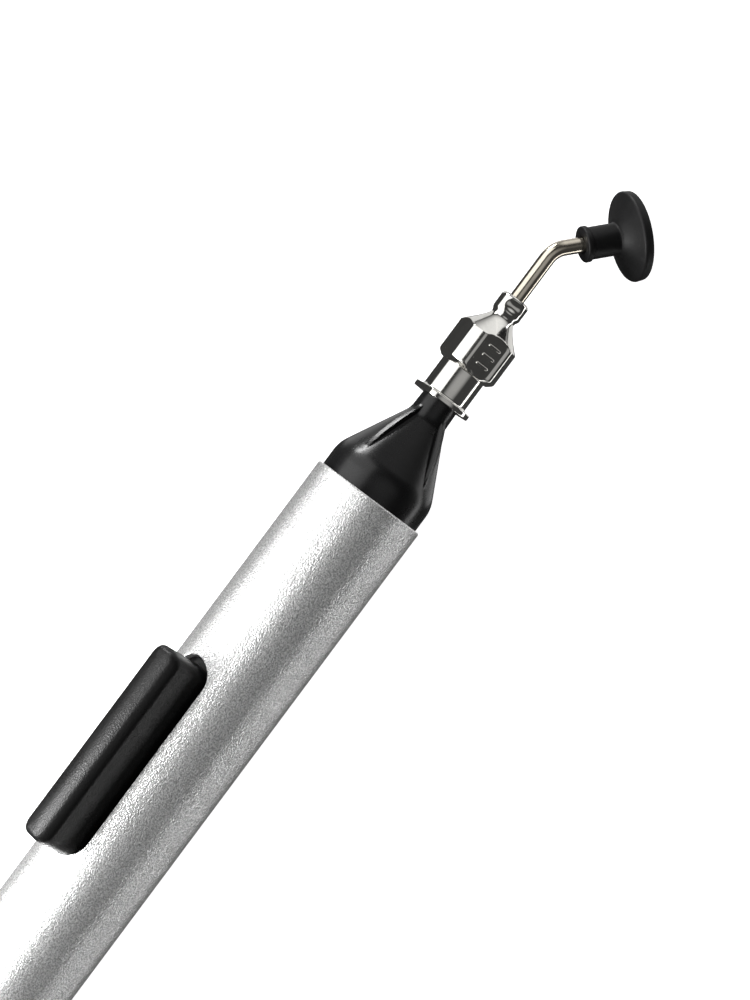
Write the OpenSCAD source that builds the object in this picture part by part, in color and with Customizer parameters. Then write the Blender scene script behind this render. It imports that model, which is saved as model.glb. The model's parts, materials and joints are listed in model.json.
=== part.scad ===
// Hand vacuum pick-up pen: a squeeze bulb in an aluminium tube, a side button,
// and a bent needle with a rubber suction cup on a slip-on hub.
// The pen lies on its side with its tip towards +X. Its axis is the X axis, and
// x = 0 is the flat rear face. Angles about the pen are counted from straight up
// (+Z) towards +Y.

/* [Tube] */
// Outside diameter of the tube
tube_d = 12.7; // [12:0.1:14]
// Thickness of the tube's wall
tube_wall = 0.8; // [0.6:0.1:0.9]
// Length of the tube
tube_len = 104; // [95:1:120]
// Chamfer on the outside of both tube ends
tube_chamfer = 0.25; // [0.1:0.05:0.4]

/* [Slot and button] */
// Direction of the button about the pen
button_roll = 50; // [0:5:90]
// From the tube's front edge back to the slot
slot_setback = 23.1; // [22:0.1:30]
// Length of the slot over its round ends
slot_len = 24.5; // [22:0.1:28]
// Width of the slot
slot_w = 4.9; // [4.5:0.1:5.4]
// Gap between the slot's front end and the button
front_gap = 0.85; // [0.6:0.05:1.2]
// Gap between the slot's rear end and the button
rear_gap = 0.35; // [0.35:0.05:1.2]
// Width of the button
button_w = 3.9; // [3.4:0.1:4]
// Height of the button's top above the pen's axis
button_top = 11.2; // [10:0.1:12]
// Radius of the button's upright corners
button_corner = 1.3; // [1:0.1:1.6]
// Rounding of the button's top edge
button_edge = 0.75; // [0.4:0.05:0.9]

/* [Nose cone] */
// Radius of the nose where it meets the tube
nose_r = 5.88; // [5.7:0.02:6]
// Length of the nose from the tube to the hub
nose_len = 12.1; // [12:0.1:14]
// Slope of the cone to the pen's axis
cone_angle = 27.2; // [26:0.1:29]
// Radius of the neck behind the hub
neck_r = 2.12; // [2.1:0.01:2.14]
// Number of ribs on the cone, one of them in line with the button
rib_count = 4; // [3:1:6]

/* [Hub and needle] */
// Direction in which the needle bends about the pen
bend_roll = -105; // [-180:5:180]
// Length of the hub
hub_len = 13.2; // [13:0.1:14]
// Radius of the hub's round bar and of its two lugs
hub_r = 3.45; // [3.3:0.05:3.6]
// Distance across the hub's flats
hub_flats = 5.97; // [5.8:0.01:6.2]
// Outside diameter of the needle
needle_d = 1.652; // [1.5:0.001:1.7]
// Inside diameter of the needle
needle_bore = 1.2; // [0.9:0.05:1.25]
// From the hub's front end to the corner of the bend
needle_reach = 6.3; // [4:0.1:9]
// Angle of the bend
bend_angle = 45; // [30:1:60]
// Radius of the bend at the needle's middle
bend_r = 2.8; // [2.4:0.1:4]

/* [Suction cup] */
// Diameter of the cup's lip
cup_d = 9.5; // [8:0.1:11]
// Diameter of the cup's stem
stem_d = 3.4; // [3:0.1:3.6]
// Length of the stem
stem_len = 4.05; // [3.4:0.05:4.5]
// Distance along the bent tip from the corner of the bend to the stem
stem_start = 3.2; // [3:0.1:5]

/* [Hidden] */
fine = 96;

tube_r = tube_d / 2;
bore_r = tube_r - tube_wall;
fit = 0.02;              // gap of a light press fit
tail_cap = 2.5;          // part of the tail plug that shows
tail_edge = 1.2;         // rounding of its rim
tail_insert = 7;         // part of the tail plug in the tube
mouth_x = tail_cap + tube_len;

// button
slot_x = mouth_x - slot_setback - slot_len / 2;
button_len = slot_len - front_gap - rear_gap;
button_x = slot_x - (front_gap - rear_gap) / 2;
strip_len = slot_len + 4.5;  // foot and plate reach 2 mm under the tube at each end
strip_w = button_w + 0.4;
foot_z = 4.4;                // underside of the button's foot
foot_r = bore_r - 0.25;      // crown of the foot, just clear of the tube's bore
plate_t = 0.35;
stake_r = 0.6;
stake_x = 11;

// bulb, on its own axis a little below the pen's
bulb_drop = 0.7;
bulb_r = foot_z - plate_t + bulb_drop - 0.05;
bulb_wall = 1.1;
bulb_len = 41;
bulb_setback = 17;           // from the tube's front edge back to the bulb
bulb_neck_r = 3.3;

// nose: shoulder and neck fillets, spigot in the tube and nipple for the bulb
spigot_len = 9.5;
nipple_end = 15;
nipple_r = 2;
barb_r = 2.35;
air_r = 0.8;
shoulder_start = 1.7;
shoulder_r = 4;
fillet_r = 2.2;
shoulder_drop = shoulder_r * (1 - cos(cone_angle));
fillet_rise = fillet_r * (1 - cos(cone_angle));
cone_start = shoulder_start + shoulder_r * sin(cone_angle);
cone_end = cone_start
    + (nose_r - shoulder_drop - neck_r - fillet_rise) / tan(cone_angle);
neck_start = cone_end + fillet_r * sin(cone_angle);
rib_t = 0.5;
rib_proud = 0.75;            // most that a rib stands above the cone
rib_start = shoulder_start + 1.6;
rib_end = neck_start - 0.1;

// slip taper of 6% on the diameter, shared by the nose's tip and the hub's bore
taper = 0.03;
tip_len = 6.3;
luer_gap = 0.03;
hub_x = mouth_x + nose_len;
hub_bore_len = tip_len + 0.8;
barrel_r = 2.55;             // thin rear part of the hub
lug_t = 0.6;
lug_half_w = 2.64;
bar_start = 4.05;
bar_end = 8.4;
bar_chamfer = 0.6;
waist_r = 1.32;
waist_x = 10.75;
crimp_r = 1.62;
crimp_edge = 0.4;

// needle and cup, measured along the bent tip from the corner of the bend
vertex_x = hub_x + hub_len + needle_reach;
bend_tangent = bend_r * tan(bend_angle / 2);
needle_start = hub_x + hub_bore_len + 0.8;
needle_end = 6.9;
seam_skin = 0.01;
cup_gap = 0.024;
cup_r = cup_d / 2;
stem_r = stem_d / 2;
collar_r = stem_r + 0.2;
collar_len = 0.55;
flare_start = stem_start + stem_len;
lip_end = flare_start + 1.95;
cup_hole_r = 0.5;

// A circular arc of n steps as points, from angle a0 to angle a1
function arc(cx, cy, r, a0, a1, n = 8) =
    [for (i = [0 : n]) let (a = a0 + (a1 - a0) * i / n) [cx + r * cos(a), cy + r * sin(a)]];

// Radius of the nose's tip and of the hub's bore at distance y from the tube's front edge
function luer_r(y) = neck_r - taper * (y - neck_start);

// Outer radius of the straight cone at distance y from the tube's front edge
function cone_r(y) = nose_r - shoulder_drop - (y - cone_start) * tan(cone_angle);

// Turns a profile of [radius, distance along the pen] about the pen's axis, from x on
module turned(x) translate([x, 0, 0]) rotate([0, 90, 0]) rotate_extrude($fn = fine) children();

// Local +Z points where the button points
module button_side() rotate([-button_roll, 0, 0]) children();

// Local +Z points where the needle bends to
module bend_side() rotate([-bend_roll, 0, 0]) children();

// Local +Z runs along the bent tip, from the corner of the bend
module along_tip()
    bend_side() translate([vertex_x, 0, 0]) rotate([0, 90 - bend_angle, 0]) children();

// An outline with straight sides and round ends, along X
module round_ended(len, w) {
    square([len - w, w], center = true);
    for (s = [-1, 1]) translate([s * (len - w) / 2, 0]) circle(d = w, $fn = fine);
}

// Profile of a bar whose top edges are rounded, w wide, from z0 up to z1
module rounded_top(w, z0, z1, r)
    polygon(concat(
        [[-w / 2, z0], [w / 2, z0]],
        arc(w / 2 - r, z1 - r, r, 0, 90),
        arc(r - w / 2, z1 - r, r, 90, 180)));

// A block with round upright corners and a rounded top edge
module soft_block(len, w, z0, z1, corner, edge) {
    translate([-(len / 2 - corner), 0, 0]) rotate([90, 0, 90])
        linear_extrude(len - 2 * corner) rounded_top(w, z0, z1, edge);
    translate([0, w / 2 - corner, 0]) rotate([90, 0, 0])
        linear_extrude(w - 2 * corner) rounded_top(len, z0, z1, edge);
    for (sx = [-1, 1], sy = [-1, 1])
        translate([sx * (len / 2 - corner), sy * (w / 2 - corner), 0])
            rotate_extrude($fn = fine)
                polygon(concat(
                    [[0, z0], [corner, z0]],
                    arc(corner - edge, z1 - edge, edge, 0, 90),
                    [[0, z1]]));
}

// Half profile of a closed bulb with rounded ends
module bulb_profile(r, len, corner)
    polygon(concat(
        [[0, 0]],
        arc(r - corner, corner, corner, -90, 0),
        arc(r - corner, len - corner, corner, 0, 90),
        [[0, len]]));

module barrel_tube() color("silver") difference() {
    turned(tail_cap) polygon([
        [bore_r, 0], [tube_r - tube_chamfer, 0], [tube_r, tube_chamfer],
        [tube_r, tube_len - tube_chamfer], [tube_r - tube_chamfer, tube_len],
        [bore_r, tube_len]]);
    button_side() translate([slot_x, 0, 0])
        linear_extrude(tube_d) round_ended(slot_len, slot_w);
}

module tail_plug() color("#1c1c1e") turned(0) polygon(concat(
    [[0, 0]],
    arc(tube_r - tail_edge, tail_edge, tail_edge, -90, 0),
    [[tube_r, tail_cap], [bore_r - fit, tail_cap],
     [bore_r - fit, tail_cap + tail_insert - 0.5],
     [bore_r - fit - 0.5, tail_cap + tail_insert],
     [bore_r - 1.5, tail_cap + tail_insert], [bore_r - 1.5, tail_cap], [0, tail_cap]]));

// Side view of one rib: a straight ridge from the shoulder down to the neck
module rib() {
    ridge_front = luer_r(rib_end) + 0.25;
    ridge_slope = (cone_r(rib_start + 0.4) - ridge_front) / (rib_end - rib_start);
    steps = 8;
    // the ridge bows out by rib_proud half way, measured from the straight chord
    ridge = [for (i = [0 : steps]) let (t = i / steps, y = rib_start + (rib_end - rib_start) * t)
        [mouth_x + y,
         ridge_front + ridge_slope * (rib_end - y) + 4 * (rib_proud - 0.35) * t * (1 - t)]];
    rotate([90, 0, 0]) translate([0, 0, -rib_t / 2]) linear_extrude(rib_t)
        polygon(concat([[mouth_x + rib_end, 1], [mouth_x + rib_start, 1]], ridge));
}

module nose_cone() color("#161618") difference() {
    union() {
        turned(mouth_x) polygon(concat(
            [[0, -nipple_end], [nipple_r - 0.3, -nipple_end], [barb_r, -nipple_end + 1.4],
             [nipple_r, -nipple_end + 1.4], [nipple_r, -nipple_end + 2.2],
             [barb_r, -nipple_end + 3.6], [nipple_r, -nipple_end + 3.6],
             [nipple_r, -spigot_len], [bore_r - fit - 0.4, -spigot_len],
             [bore_r - fit, -spigot_len + 0.4], [bore_r - fit, 0], [nose_r, 0]],
            arc(nose_r - shoulder_r, shoulder_start, shoulder_r, 0, cone_angle, 10),
            [for (p = arc(0, 0, fillet_r, cone_angle, 0, 6))
                [neck_r + fillet_r - p[0], neck_start - p[1]]],
            [[luer_r(nose_len + tip_len - 0.3), nose_len + tip_len - 0.3],
             [luer_r(nose_len + tip_len) - 0.25, nose_len + tip_len],
             [0, nose_len + tip_len]]));
        for (i = [0 : rib_count - 1])
            button_side() rotate([i * 360 / rib_count, 0, 0]) rib();
    }
    turned(mouth_x) square_bore(air_r, -nipple_end - 1, nose_len + tip_len + 1);
}

// Profile of a round hole of radius r, from y0 to y1 along the axis
module square_bore(r, y0, y1) translate([0, y0]) square([r, y1 - y0]);

module squeeze_bulb() color("#b5651d") difference() {
    union() {
        button_side() translate([0, 0, -bulb_drop])
            turned(mouth_x - bulb_setback - bulb_len) bulb_profile(bulb_r, bulb_len, 2.5);
        turned(mouth_x)
            square_bore(bulb_neck_r, -bulb_setback - 1, -spigot_len - 0.05);
    }
    button_side() translate([0, 0, -bulb_drop])
        turned(mouth_x - bulb_setback - bulb_len + bulb_wall)
            bulb_profile(bulb_r - bulb_wall, bulb_len - 2 * bulb_wall, 1.6);
    turned(mouth_x) square_bore(barb_r, -bulb_setback - 2, -spigot_len);
}

module bulb_ferrule() color("goldenrod") turned(mouth_x - nipple_end + 1.8) polygon([
    [bulb_neck_r, 0], [bulb_neck_r + 0.3, 0], [bulb_neck_r + 0.45, 0.15],
    [bulb_neck_r + 0.45, 2.25], [bulb_neck_r + 0.3, 2.4], [bulb_neck_r, 2.4]]);

module button() color("#141416") button_side() translate([button_x, 0, 0]) {
    soft_block(button_len, button_w, foot_z, button_top, button_corner, button_edge);
    // foot that holds the button in the tube
    intersection() {
        translate([0, 0, foot_z]) linear_extrude(foot_r) round_ended(strip_len, strip_w);
        rotate([0, 90, 0]) cylinder(r = foot_r, h = strip_len, center = true, $fn = fine);
    }
    // stakes through the plate
    for (s = [-1, 1]) translate([s * stake_x, 0, foot_z - plate_t])
        cylinder(r = stake_r, h = plate_t, $fn = fine);
}

module presser_plate() color("lightsteelblue") button_side()
    translate([button_x, 0, foot_z - plate_t]) linear_extrude(plate_t) difference() {
        round_ended(strip_len, strip_w);
        for (s = [-1, 1]) translate([s * stake_x, 0]) circle(r = stake_r, $fn = fine);
    }

// Outline of the two lugs, seen along the pen
module lug_cuts()
    for (s = [-1, 1])
        translate([hub_x - 1, -hub_r, s * (lug_half_w + hub_r) - hub_r])
            cube([1 + lug_t, 2 * hub_r, 2 * hub_r]);

module needle_hub() color("gainsboro") bend_side() difference() {
    turned(hub_x) polygon(concat(
        [[0, 0], [hub_r - 0.1, 0], [hub_r, 0.1], [hub_r, lug_t - 0.1], [hub_r - 0.1, lug_t]],
        arc(barrel_r + 0.3, lug_t + 0.3, 0.3, 270, 180, 4),
        [[barrel_r, bar_start], [hub_r - bar_chamfer, bar_start],
         [hub_r, bar_start + bar_chamfer], [hub_r, bar_end - 0.1]],
        // hollow-sided cone down to the waist
        [for (i = [1 : 8]) let (t = i / 8)
            [hub_r - (hub_r - waist_r) * (1 - pow(1 - t, 1.25)),
             bar_end - 0.1 + (waist_x - bar_end + 0.1) * t]],
        [[waist_r, waist_x + 0.1]],
        arc(crimp_r - crimp_edge, waist_x + 0.1 + crimp_edge + 0.2, crimp_edge, -45, 0, 4),
        arc(crimp_r - crimp_edge, hub_len - crimp_edge, crimp_edge, 0, 90, 4),
        [[0, hub_len]]));
    lug_cuts();
    // four flats on the bar
    for (a = [0 : 90 : 270]) rotate([a, 0, 0])
        translate([hub_x + bar_start - 0.2, -hub_r, hub_flats / 2])
            cube([bar_end - bar_start + 2, 2 * hub_r, hub_r]);
    // tapered socket for the nose's tip
    turned(mouth_x) polygon([
        [0, nose_len - 1], [luer_r(nose_len - 1) + luer_gap, nose_len - 1],
        [luer_r(nose_len + hub_bore_len) + luer_gap, nose_len + hub_bore_len],
        [needle_d / 2, nose_len + hub_bore_len + 0.6],
        [needle_d / 2, nose_len + hub_len + 1], [0, nose_len + hub_len + 1]]);
}

// Cross-section of the needle, thicker by skin inside and out
module needle_section(skin = 0) difference() {
    circle(d = needle_d + 2 * skin, $fn = fine);
    circle(d = needle_bore - 2 * skin, $fn = fine);
}

// Drawn about the centre of the bend, with the bend's start on local +X
module needle_tube() color("lightgray") bend_side()
    translate([vertex_x - bend_tangent, 0, bend_r]) rotate([90, 90, 0]) {
        rotate_extrude(angle = bend_angle, $fn = fine)
            translate([bend_r, 0]) needle_section();
        translate([bend_r, 0, 0]) rotate([90, 0, 0])
            linear_extrude(vertex_x - bend_tangent - needle_start) needle_section();
        rotate([0, 0, bend_angle]) translate([bend_r, 0, 0]) rotate([-90, 0, 0])
            linear_extrude(needle_end - bend_tangent) needle_section();
        // a hair-thin band over each seam makes the three runs one solid
        for (a = [0, bend_angle])
            rotate([0, 0, a]) translate([bend_r, 0, 0]) rotate([90, 0, 0])
                linear_extrude(0.2, center = true) needle_section(seam_skin);
    }

module suction_cup() color("#101012") along_tip() rotate_extrude($fn = fine) polygon(concat(
    [[needle_d / 2 + cup_gap, stem_start]],
    arc(collar_r - 0.2, stem_start + 0.2, 0.2, -90, 0, 4),
    [[collar_r, stem_start + collar_len - 0.15], [stem_r, stem_start + collar_len + 0.1]],
    // back of the cup, hollow-sided, out to the rim
    [for (i = [0 : 8]) let (t = i / 8)
        [stem_r + (cup_r - 0.15 - stem_r) * t,
         flare_start - 0.4 * pow(1 - t, 3) + 0.95 * t]],
    arc(cup_r - 0.4, flare_start + 1.4, 0.4, -20, 30, 4),
    [[cup_r - 0.1, lip_end], [cup_r - 0.5, lip_end]],
    // dished face
    [for (i = [1 : 6]) let (t = i / 6)
        [cup_r - 0.5 - (cup_r - 1.3) * t, lip_end - 1.05 * (1 - pow(1 - t, 2))]],
    [[cup_hole_r, lip_end - 1.05], [cup_hole_r, needle_end + 0.05],
     [needle_d / 2 + cup_gap, needle_end + 0.05]]));

barrel_tube();
nose_cone();
tail_plug();
squeeze_bulb();
bulb_ferrule();
button();
presser_plate();
needle_hub();
needle_tube();
suction_cup();
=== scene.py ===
import json
from math import asin, cos, hypot, pi, radians, sin, sqrt, tan

import bmesh
import bpy
from bpy.props import FloatProperty, FloatVectorProperty, IntProperty, PointerProperty
from bpy.types import NodeSocket, Operator, Panel, PropertyGroup
from mathutils import Matrix, Vector


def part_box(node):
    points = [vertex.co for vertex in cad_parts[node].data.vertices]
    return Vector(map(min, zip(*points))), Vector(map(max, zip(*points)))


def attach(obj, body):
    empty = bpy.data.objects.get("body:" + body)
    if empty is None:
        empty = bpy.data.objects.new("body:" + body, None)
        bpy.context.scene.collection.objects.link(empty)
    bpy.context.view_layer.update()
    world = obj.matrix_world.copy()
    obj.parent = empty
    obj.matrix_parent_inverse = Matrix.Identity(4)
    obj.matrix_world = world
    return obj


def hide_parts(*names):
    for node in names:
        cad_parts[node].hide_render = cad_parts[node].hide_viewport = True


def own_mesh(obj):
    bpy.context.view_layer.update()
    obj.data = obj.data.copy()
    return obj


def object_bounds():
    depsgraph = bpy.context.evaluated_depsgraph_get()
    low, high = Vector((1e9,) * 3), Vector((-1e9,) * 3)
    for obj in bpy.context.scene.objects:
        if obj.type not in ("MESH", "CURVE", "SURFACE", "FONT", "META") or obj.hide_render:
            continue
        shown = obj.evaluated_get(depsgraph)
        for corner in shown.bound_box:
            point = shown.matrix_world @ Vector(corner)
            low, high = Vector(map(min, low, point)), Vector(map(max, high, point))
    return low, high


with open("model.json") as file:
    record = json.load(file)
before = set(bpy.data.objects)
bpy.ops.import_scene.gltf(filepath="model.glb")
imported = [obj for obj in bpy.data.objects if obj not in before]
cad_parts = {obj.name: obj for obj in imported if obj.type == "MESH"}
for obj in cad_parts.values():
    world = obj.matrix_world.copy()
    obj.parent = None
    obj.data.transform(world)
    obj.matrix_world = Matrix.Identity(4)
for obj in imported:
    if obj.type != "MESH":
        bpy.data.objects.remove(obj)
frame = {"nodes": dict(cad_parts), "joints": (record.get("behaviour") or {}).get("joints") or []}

bl_info = {
    "name": "Vacuum pick-up pen",
    "version": (1, 0, 0),
    "blender": (4, 5, 0),
    "location": "3D View > Sidebar > Pick-up pen",
    "description": "Builds the finished pieces, materials and stage of a hand vacuum pick-up pen",
    "category": "Object",
}

MM = 0.001
CAD_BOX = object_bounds()

# The pen lies along +X. Its directions come from the joints of the frame.
JOINTS = {joint["name"]: joint for joint in frame["joints"]}
PEN_AXIS = Vector((1, 0, 0))
BUTTON_UP = -Vector(JOINTS["button_press"]["axis"]).normalized()
TIP_ALONG = Vector(JOINTS["cup_pull"]["axis"]).normalized()
BEND_UP = (TIP_ALONG - PEN_AXIS * TIP_ALONG.x).normalized()
BEND_ANGLE = PEN_AXIS.angle(TIP_ALONG)

# Places along the pen, from the frame's own boxes
TUBE_LOW, TUBE_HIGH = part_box("barrel_tube")
TUBE_R = TUBE_HIGH.y
TAIL_X = TUBE_LOW.x
MOUTH_X = TUBE_HIGH.x
PLUG_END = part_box("tail_plug")[1].x
NOSE_LOW, NOSE_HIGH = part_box("nose_cone")
HUB_LOW, HUB_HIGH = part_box("needle_hub")
HUB_LEN = HUB_HIGH.x - HUB_LOW.x
PLATE_LOW, PLATE_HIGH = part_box("presser_plate")
BULB_LOW, BULB_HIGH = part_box("squeeze_bulb")
SPIGOT_R = 5.53 * MM  # of the nose and the tail plug, inside the tube
ARC_STEP = radians(11)  # most that one straight step of a rounded corner turns


# ---------------------------------------------------------------- settings


def length(name, description, millimetres, low=0.0):
    return FloatProperty(name=name, description=description, default=millimetres * MM,
                         min=low * MM, precision=5, unit="LENGTH")


def colour(name, description, value):
    return FloatVectorProperty(name=name, description=description, default=value,
                               size=3, min=0.0, max=1.0, subtype="COLOR")


def brightness(name, description, value):
    return FloatProperty(name=name, description=description, default=value, min=0.0)


def angle(name, description, degrees):
    return FloatProperty(name=name, description=description, default=radians(degrees),
                         subtype="ANGLE")


class TubeSizes(PropertyGroup):
    """Sizes of the aluminium tube and its slot"""

    wall: length("Wall", "Thickness of the tube's wall", 0.8)
    chamfer: length("End chamfer", "Chamfer outside both ends", 0.14)
    edge: length("Slot edge", "Rounding of the slot's edges", 0.1)
    slot_setback: length("Slot place", "From the tube's front edge to the slot", 23.1)
    slot_len: length("Slot length", "Length over the round ends", 24.3)
    slot_w: length("Slot width", "Width of the slot", 4.9)


class ButtonSizes(PropertyGroup):
    """Sizes of the push button"""

    length: length("Length", "Length of the button", 23.3)
    width: length("Width", "Width of the button", 3.9)
    top: length("Top", "Height of the top above the pen's axis", 11.2)
    corner: length("Corner", "Radius of the upright corners", 1.3)
    edge: length("Edge", "Rounding of the top edge", 0.75)
    crown: length("Crown", "How much the middle of the top stands proud", 0.55)
    foot_z: length("Foot", "Height of the foot's underside above the pen's axis", 4.4)
    foot_w: length("Foot width", "Width of the foot inside the tube", 4.3)
    foot_crown: length("Foot crown", "Radius of the foot's top", 5.3)
    stake_r: length("Stake", "Radius of the stakes that hold the plate", 0.6)
    stake_x: length("Stake place", "From the button's middle to a stake", 11)


class NoseSizes(PropertyGroup):
    """Sizes of the moulded nose cone"""

    radius: length("Radius", "Radius where the nose meets the tube", 5.88)
    neck_r: length("Neck", "Radius of the neck behind the hub", 2.12)
    slope: angle("Slope", "Slope of the cone to the pen's axis", 27.2)
    shoulder: length("Shoulder", "Radius of the shoulder", 4)
    fillet: length("Fillet", "Radius where the cone runs into the neck", 2.2)
    straight: length("Straight", "Straight part in front of the tube", 1.7)
    rib_count: IntProperty(name="Ribs", description="Number of ribs on the cone",
                           default=4, min=1, max=6)
    rib_w: length("Rib width", "Thickness of a rib", 0.5)
    rib_proud: length("Rib height", "Most that a rib stands above the cone", 0.75)


class HubSizes(PropertyGroup):
    """Sizes of the metal needle hub; places are measured from its rear face"""

    radius: length("Radius", "Radius of the bar and of the two lugs", 3.45)
    flats: length("Flats", "Distance across the bar's flats", 5.97)
    barrel_r: length("Barrel", "Radius of the thin rear part", 2.55)
    lug_t: length("Lug", "Thickness of the two lugs", 0.6)
    lug_half: length("Lug width", "Half the width of a lug", 2.64)
    bar_start: length("Bar start", "Place of the bar's rear end", 4.05)
    bar_end: length("Bar end", "Place of the bar's front end", 8.4)
    waist_x: length("Waist place", "Place of the waist", 10.75)
    waist_r: length("Waist", "Radius of the waist", 1.38)
    crimp_r: length("Crimp", "Radius of the crimped collar", 1.62)
    panel_rim: length("Panel rim", "Width of the stamped flat's raised rim", 0.24)
    panel_deep: length("Panel depth", "Depth of the stamped flat inside its rim", 0.1)


class NeedleSizes(PropertyGroup):
    """Sizes of the bent needle"""

    outer: length("Diameter", "Outside diameter of the needle", 1.652)
    inner: length("Bore", "Inside diameter of the needle", 1.2)
    reach: length("Reach", "From the hub to the corner of the bend", 6.3)
    bend_r: length("Bend", "Radius of the bend at the needle's middle", 2.8)
    tip: length("Tip", "From the corner of the bend to the needle's end", 6.9)


class CupSizes(PropertyGroup):
    """Sizes of the rubber suction cup"""

    radius: length("Lip", "Radius of the cup's lip", 4.75)
    stem_r: length("Stem", "Radius of the stem", 1.7)
    stem_len: length("Stem length", "Length of the stem", 4.05)
    start: length("Place", "From the corner of the bend to the stem", 3.2)
    collar: length("Collar", "How much the collar stands proud of the stem", 0.2)
    collar_len: length("Collar length", "Length of the collar", 0.55)
    depth: length("Depth", "Depth of the dished face", 1.05)
    hole_r: length("Hole", "Radius of the air hole", 0.5)


class BulbSizes(PropertyGroup):
    """Sizes of the squeeze bulb inside the tube"""

    radius: length("Radius", "Radius of the bulb", 4.7)
    drop: length("Drop", "How far the bulb lies below the pen's axis", 0.7)
    wall: length("Wall", "Thickness of the bulb's wall", 1.1)
    length: length("Length", "Length of the bulb", 41)
    round: length("Rounding", "Rounding of the bulb's ends", 2.5)
    neck_r: length("Neck", "Radius of the bulb's neck", 3.3)
    neck_bore: length("Neck bore", "Radius of the bore in the neck", 2.35)
    neck_len: length("Neck length", "Length of the neck", 7.4)


class Colours(PropertyGroup):
    """Colours of the finishes"""

    aluminium: colour("Aluminium", "Bead-blasted and clear anodised", (0.90, 0.90, 0.895))
    gloss_black: colour("Gloss black", "Moulded nose", (0.0045, 0.0045, 0.0047))
    satin_black: colour("Satin black", "Moulded button and tail plug", (0.005, 0.005, 0.005))
    nickel: colour("Nickel", "Plated hub", (0.65, 0.64, 0.61))
    steel: colour("Steel", "Drawn needle tube", (0.62, 0.57, 0.48))
    zinc: colour("Zinc", "Presser plate", (0.55, 0.56, 0.58))
    brass: colour("Brass", "Ferrule on the bulb's neck", (0.72, 0.49, 0.20))
    cup_rubber: colour("Cup rubber", "Black rubber of the cup", (0.006, 0.006, 0.0062))
    bulb_rubber: colour("Bulb rubber", "Amber rubber of the bulb", (0.36, 0.13, 0.035))


class Studio(PropertyGroup):
    """Camera and room"""

    tilt: angle("Tilt", "How far the camera leans from straight above", 10)
    roll: angle("Roll", "Slope of the pen across the picture", 53.3)
    distance: length("Distance", "From the camera to what it looks at", 297)
    ahead: length("Ahead", "What it looks at, in front of the tube's edge", 0.11)
    aside: length("Aside", "What it looks at, beside the pen's axis", -0.65, low=-100)
    lens: FloatProperty(name="Lens", description="Focal length in millimetres",
                        default=104.4, min=1.0)
    ambient: brightness("Ambient", "Brightness of the dark room", 0.06)
    tip_glow: brightness("Tip glow", "Brightness of the room ahead of the tip", 1.2)
    fill_glow: brightness("Fill glow", "Brightness of the room behind the camera", 0.42)


class PenSettings(PropertyGroup):
    """Everything that a user would change about the pen"""

    tube: PointerProperty(type=TubeSizes)
    button: PointerProperty(type=ButtonSizes)
    nose: PointerProperty(type=NoseSizes)
    hub: PointerProperty(type=HubSizes)
    needle: PointerProperty(type=NeedleSizes)
    cup: PointerProperty(type=CupSizes)
    bulb: PointerProperty(type=BulbSizes)
    colours: PointerProperty(type=Colours)
    studio: PointerProperty(type=Studio)


# ------------------------------------------------------------ mesh helpers


def placed(x, y, z, origin=(0, 0, 0)):
    """Matrix whose local axes run along x, y and z, set at origin."""
    rows = [(x[i], y[i], z[i], origin[i]) for i in range(3)]
    return Matrix(rows + [(0, 0, 0, 1)])


def seat(along, up, origin=(0, 0, 0)):
    """Matrix whose local X runs along, local Z points up, and Y completes them."""
    return placed(along, up.cross(along), up, origin)


def even(start, end, steps):
    """Evenly spaced values from start to end, both included."""
    return [start + (end - start) * k / steps for k in range(steps + 1)]


def filleted(corners, ring=False):
    """Outline through corners (x, r, fillet radius), each rounded by its own radius."""
    count = len(corners)
    outline = []
    for i, (x, r, fillet) in enumerate(corners):
        corner = Vector((x, r))
        if not fillet or (not ring and i in (0, count - 1)):
            outline.append((x, r))
            continue
        back = Vector(corners[i - 1][:2]) - corner
        ahead = Vector(corners[(i + 1) % count][:2]) - corner
        half = back.angle(ahead) / 2
        reach = min(fillet / tan(half), 0.49 * back.length, 0.49 * ahead.length)
        radius = reach * tan(half)
        start = corner + back.normalized() * reach
        middle = corner + (back.normalized() + ahead.normalized()).normalized() * radius / sin(half)
        turn = pi - 2 * half
        if back.x * ahead.y - back.y * ahead.x > 0:
            turn = -turn
        steps = max(2, round(abs(turn) / ARC_STEP))
        for k in range(steps + 1):
            spoke = start - middle
            spoke.rotate(Matrix.Rotation(turn * k / steps, 2))
            outline.append(tuple(middle + spoke))
    return outline


def smooth(low, high, value):
    """0 below low, 1 above high, and a smooth step between."""
    t = min(1.0, max(0.0, (value - low) / (high - low)))
    return t * t * (3 - 2 * t)


def soft_min(a, b, width):
    """The smaller of a and b, with the corner between them rounded over width."""
    h = max(width - abs(a - b), 0) / width
    return min(a, b) - h * h * width / 4


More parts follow.
